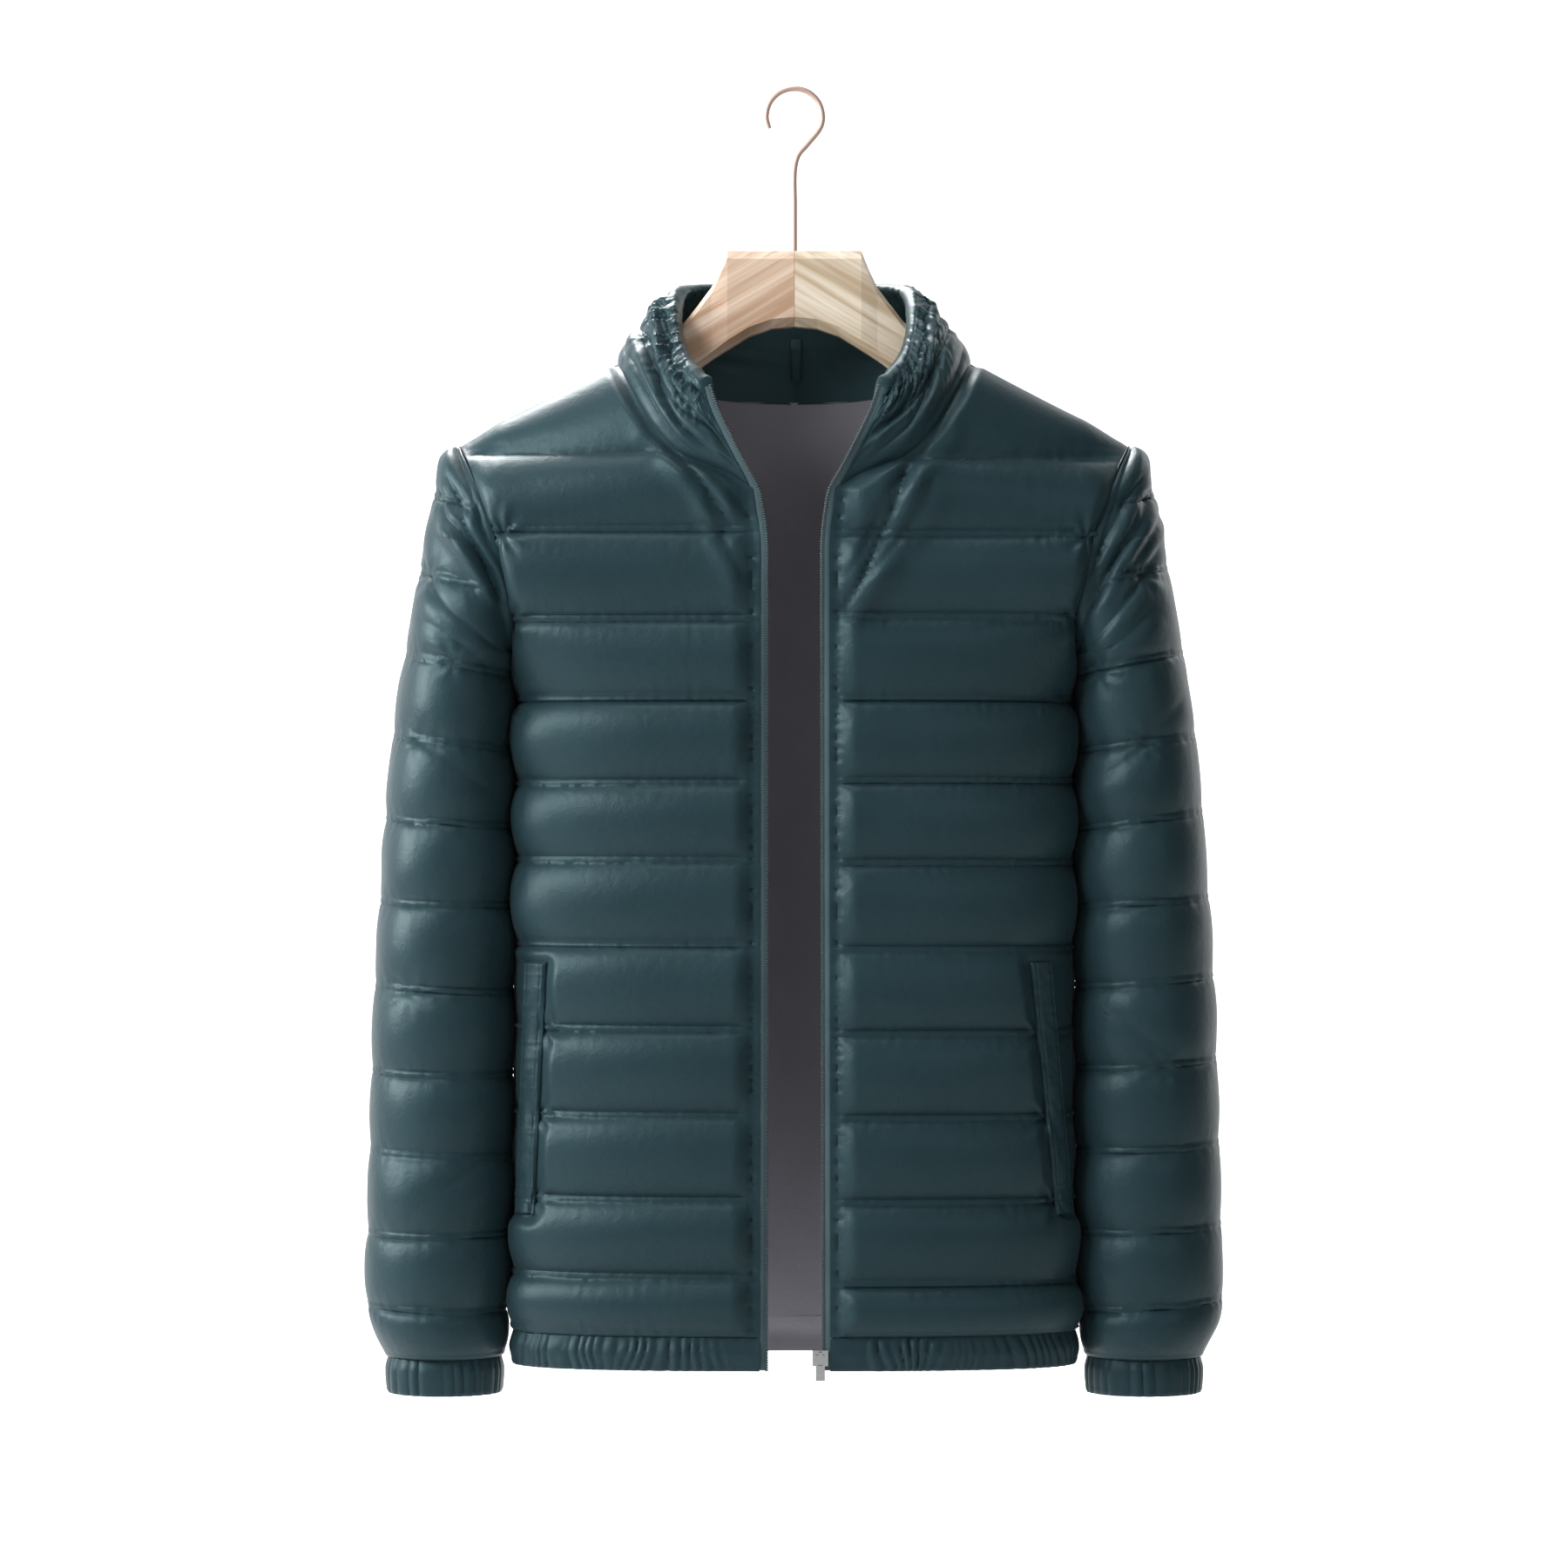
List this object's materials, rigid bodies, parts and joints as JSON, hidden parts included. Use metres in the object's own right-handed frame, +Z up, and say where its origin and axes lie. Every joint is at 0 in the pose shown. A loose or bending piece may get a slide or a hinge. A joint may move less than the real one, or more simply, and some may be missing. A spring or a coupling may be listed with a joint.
{
  "type": "quilted jacket on a hanger",
  "caption": "Hip-length padded jacket with channel quilting, a stand collar, an open front zip and welt pockets, hanging on a flat wooden hanger.",
  "frame": {"origin": "inner top of the hanger's hook, where the hook rests on a rail", "axes": "+Z up, the jacket's front faces -Y, -X is the left as seen from the front"},
  "size_m": [0.6092, 0.1714, 0.928],
  "materials": {
    "shell": "dark green satin nylon over filling, soft sheen",
    "band": "dark green nylon gathered over elastic, dull sheen",
    "zip_tape": "grey-green woven tape with a moulded coil, matt",
    "zip_metal": "cast metal with a silver plating, satin",
    "wood": "pale wood, sanded and clear varnished",
    "hook_metal": "polished steel wire, slightly warm"
  },
  "bodies": {
    "jacket": {"front_left": "shell", "front_right": "shell", "back": "shell", "collar": "shell", "sleeve_left": "shell", "sleeve_right": "shell", "welt_left": "shell", "welt_right": "shell", "cuff_left": "band", "cuff_right": "band", "hem_band": "band", "hang_loop": "band", "zip_tape_left": "zip_tape", "zip_tape_right": "zip_tape", "zip_slider": "zip_metal", "hanger": "wood", "hook": "hook_metal"},
    "zip_pull": {"zip_pull": "zip_metal"}
  },
  "joints": [
    {"name": "zip_pull_swing", "type": "hinge", "parent": "jacket", "child": "zip_pull", "pos_m": [0.018, -0.06772, -0.8908], "axis": [-1, 0, 0], "range_deg": [0, 150]}
  ]
}
